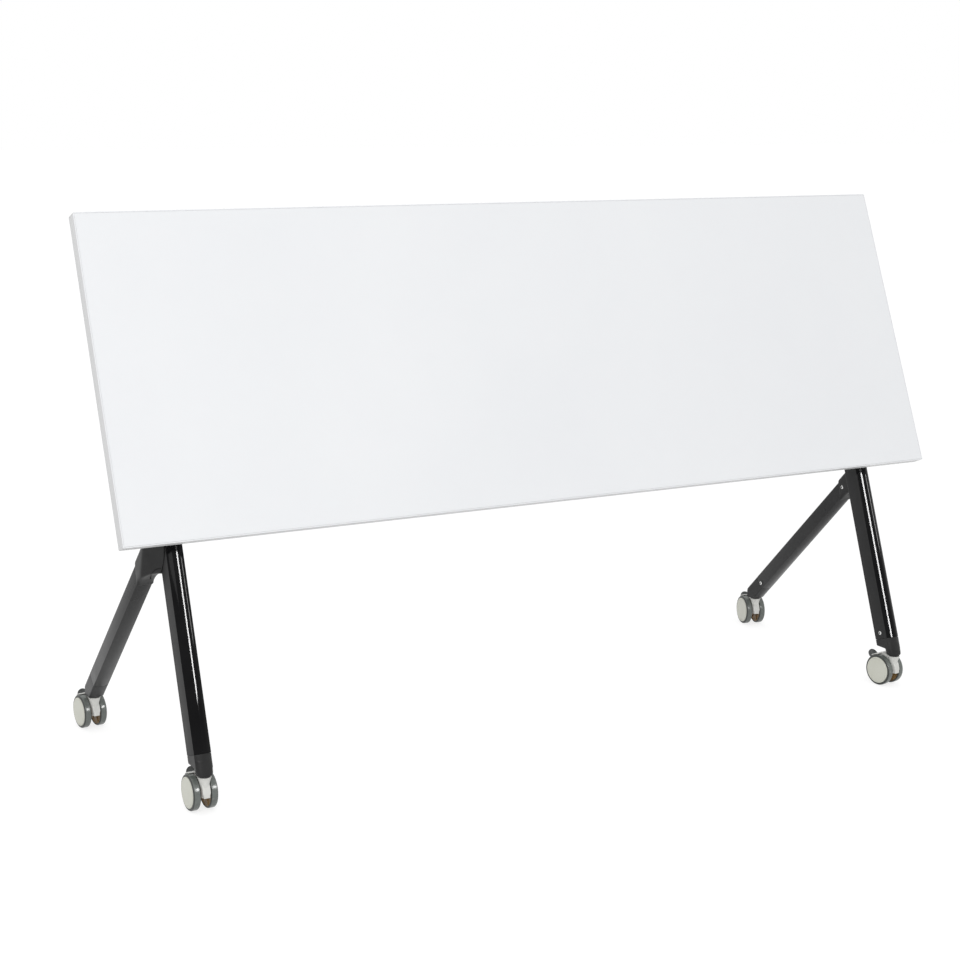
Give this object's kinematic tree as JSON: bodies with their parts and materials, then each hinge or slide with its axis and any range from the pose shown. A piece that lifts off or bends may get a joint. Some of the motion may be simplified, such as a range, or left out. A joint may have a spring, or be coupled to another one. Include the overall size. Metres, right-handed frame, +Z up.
{
  "type": "flip top training table",
  "caption": "Long rectangular table whose top folds up on a hinge over splayed legs that stand on twin wheel casters with brake pedals, for nesting and storage.",
  "frame": {"origin": "centre of the bounding box at floor level, with the top folded up", "axes": "+X along the table, +Y away from the side the work surface faces when folded, +Z up"},
  "size_m": [1.8, 0.5895, 1.0243],
  "materials": {
    "board": "satin white laminate",
    "edge_band": "satin",
    "leg_extrusion": "gloss black powder coat",
    "casting": "satin black",
    "zinc_steel": "zinc plated",
    "black_steel": "satin black",
    "tread": "matte",
    "hub_cover": "satin",
    "housing": "satin",
    "pedal": "satin",
    "black_plastic": "satin"
  },
  "bodies": {
    "frame": {"left_front_leg": "leg_extrusion", "left_rear_leg": "leg_extrusion", "left_knuckle": "casting", "left_front_foot": "casting", "left_rear_foot": "casting", "left_leg_head": "casting", "left_hinge_pin": "zinc_steel", "left_striker": "zinc_steel", "right_front_leg": "leg_extrusion", "right_rear_leg": "leg_extrusion", "right_knuckle": "casting", "right_front_foot": "casting", "right_rear_foot": "casting", "right_leg_head": "casting", "right_hinge_pin": "zinc_steel", "right_striker": "zinc_steel", "crossbeam": "black_steel", "front_left_caster_stem": "zinc_steel", "front_right_caster_stem": "zinc_steel", "rear_left_caster_stem": "zinc_steel", "rear_right_caster_stem": "zinc_steel"},
    "top": {"tabletop": "board", "edge_band": "edge_band", "left_top_bracket": "black_steel", "left_bar_saddle": "black_plastic", "right_top_bracket": "black_steel", "right_bar_saddle": "black_plastic"},
    "latch": {"release_bar": "zinc_steel", "release_handle": "black_plastic", "left_pawl": "zinc_steel", "right_pawl": "zinc_steel"},
    "front_left_caster": {"front_left_caster_housing": "housing", "front_left_caster_axle": "zinc_steel"},
    "front_left_wheel_left": {"front_left_wheel_left": "tread", "front_left_hub_cover_left": "hub_cover"},
    "front_left_wheel_right": {"front_left_wheel_right": "tread", "front_left_hub_cover_right": "hub_cover"},
    "front_left_pedal": {"front_left_brake_pedal": "pedal"},
    "front_right_caster": {"front_right_caster_housing": "housing", "front_right_caster_axle": "zinc_steel"},
    "front_right_wheel_left": {"front_right_wheel_left": "tread", "front_right_hub_cover_left": "hub_cover"},
    "front_right_wheel_right": {"front_right_wheel_right": "tread", "front_right_hub_cover_right": "hub_cover"},
    "front_right_pedal": {"front_right_brake_pedal": "pedal"},
    "rear_left_caster": {"rear_left_caster_housing": "housing", "rear_left_caster_axle": "zinc_steel"},
    "rear_left_wheel_left": {"rear_left_wheel_left": "tread", "rear_left_hub_cover_left": "hub_cover"},
    "rear_left_wheel_right": {"rear_left_wheel_right": "tread", "rear_left_hub_cover_right": "hub_cover"},
    "rear_left_pedal": {"rear_left_brake_pedal": "pedal"},
    "rear_right_caster": {"rear_right_caster_housing": "housing", "rear_right_caster_axle": "zinc_steel"},
    "rear_right_wheel_left": {"rear_right_wheel_left": "tread", "rear_right_hub_cover_left": "hub_cover"},
    "rear_right_wheel_right": {"rear_right_wheel_right": "tread", "rear_right_hub_cover_right": "hub_cover"},
    "rear_right_pedal": {"rear_right_brake_pedal": "pedal"}
  },
  "joints": [
    {"name": "top_flip", "type": "hinge", "parent": "frame", "child": "top", "pos_m": [0, -0.05705, 0.69], "axis": [1, 0, 0], "range_deg": [-67.5, 0]},
    {"name": "latch_release", "type": "hinge", "parent": "top", "child": "latch", "pos_m": [0, -0.08664, 0.63948], "axis": [1, 0, 0], "range_deg": [0, 20]},
    {"name": "front_left_swivel", "type": "hinge", "parent": "frame", "child": "front_left_caster", "pos_m": [-0.785, -0.28198, 0.06], "axis": [0, 0, 1], "continuous": true},
    {"name": "front_left_wheel_left_roll", "type": "hinge", "parent": "front_left_caster", "child": "front_left_wheel_left", "pos_m": [-0.785, -0.25848, 0.0325], "axis": [1, 0, 0], "continuous": true},
    {"name": "front_left_wheel_right_roll", "type": "hinge", "parent": "front_left_caster", "child": "front_left_wheel_right", "pos_m": [-0.785, -0.25848, 0.0325], "axis": [1, 0, 0], "continuous": true},
    {"name": "front_left_brake", "type": "hinge", "parent": "front_left_caster", "child": "front_left_pedal", "pos_m": [-0.785, -0.2351, 0.046], "axis": [1, 0, 0], "range_deg": [-15, 0]},
    {"name": "front_right_swivel", "type": "hinge", "parent": "frame", "child": "front_right_caster", "pos_m": [0.785, -0.28198, 0.06], "axis": [0, 0, 1], "continuous": true},
    {"name": "front_right_wheel_left_roll", "type": "hinge", "parent": "front_right_caster", "child": "front_right_wheel_left", "pos_m": [0.78234, -0.25863, 0.0325], "axis": [0.9936, 0.1132, 0], "continuous": true},
    {"name": "front_right_wheel_right_roll", "type": "hinge", "parent": "front_right_caster", "child": "front_right_wheel_right", "pos_m": [0.78234, -0.25863, 0.0325], "axis": [0.9936, 0.1132, 0], "continuous": true},
    {"name": "front_right_brake", "type": "hinge", "parent": "front_right_caster", "child": "front_right_pedal", "pos_m": [0.77969, -0.2354, 0.046], "axis": [0.9936, 0.1132, 0], "range_deg": [-15, 0]},
    {"name": "rear_left_swivel", "type": "hinge", "parent": "frame", "child": "rear_left_caster", "pos_m": [-0.8115, 0.22302, 0.06], "axis": [0, 0, 1], "continuous": true},
    {"name": "rear_left_wheel_left_roll", "type": "hinge", "parent": "rear_left_caster", "child": "rear_left_wheel_left", "pos_m": [-0.81314, 0.24646, 0.0325], "axis": [0.9976, 0.0698, 0], "continuous": true},
    {"name": "rear_left_wheel_right_roll", "type": "hinge", "parent": "rear_left_caster", "child": "rear_left_wheel_right", "pos_m": [-0.81314, 0.24646, 0.0325], "axis": [0.9976, 0.0698, 0], "continuous": true},
    {"name": "rear_left_brake", "type": "hinge", "parent": "rear_left_caster", "child": "rear_left_pedal", "pos_m": [-0.81477, 0.26979, 0.046], "axis": [0.9976, 0.0698, 0], "range_deg": [-15, 0]},
    {"name": "rear_right_swivel", "type": "hinge", "parent": "frame", "child": "rear_right_caster", "pos_m": [0.8115, 0.22302, 0.06], "axis": [0, 0, 1], "continuous": true},
    {"name": "rear_right_wheel_left_roll", "type": "hinge", "parent": "rear_right_caster", "child": "rear_right_wheel_left", "pos_m": [0.81719, 0.24582, 0.0325], "axis": [0.9703, -0.2419, 0], "continuous": true},
    {"name": "rear_right_wheel_right_roll", "type": "hinge", "parent": "rear_right_caster", "child": "rear_right_wheel_right", "pos_m": [0.81719, 0.24582, 0.0325], "axis": [0.9703, -0.2419, 0], "continuous": true},
    {"name": "rear_right_brake", "type": "hinge", "parent": "rear_right_caster", "child": "rear_right_pedal", "pos_m": [0.82284, 0.26851, 0.046], "axis": [0.9703, -0.2419, 0], "range_deg": [-15, 0]}
  ]
}
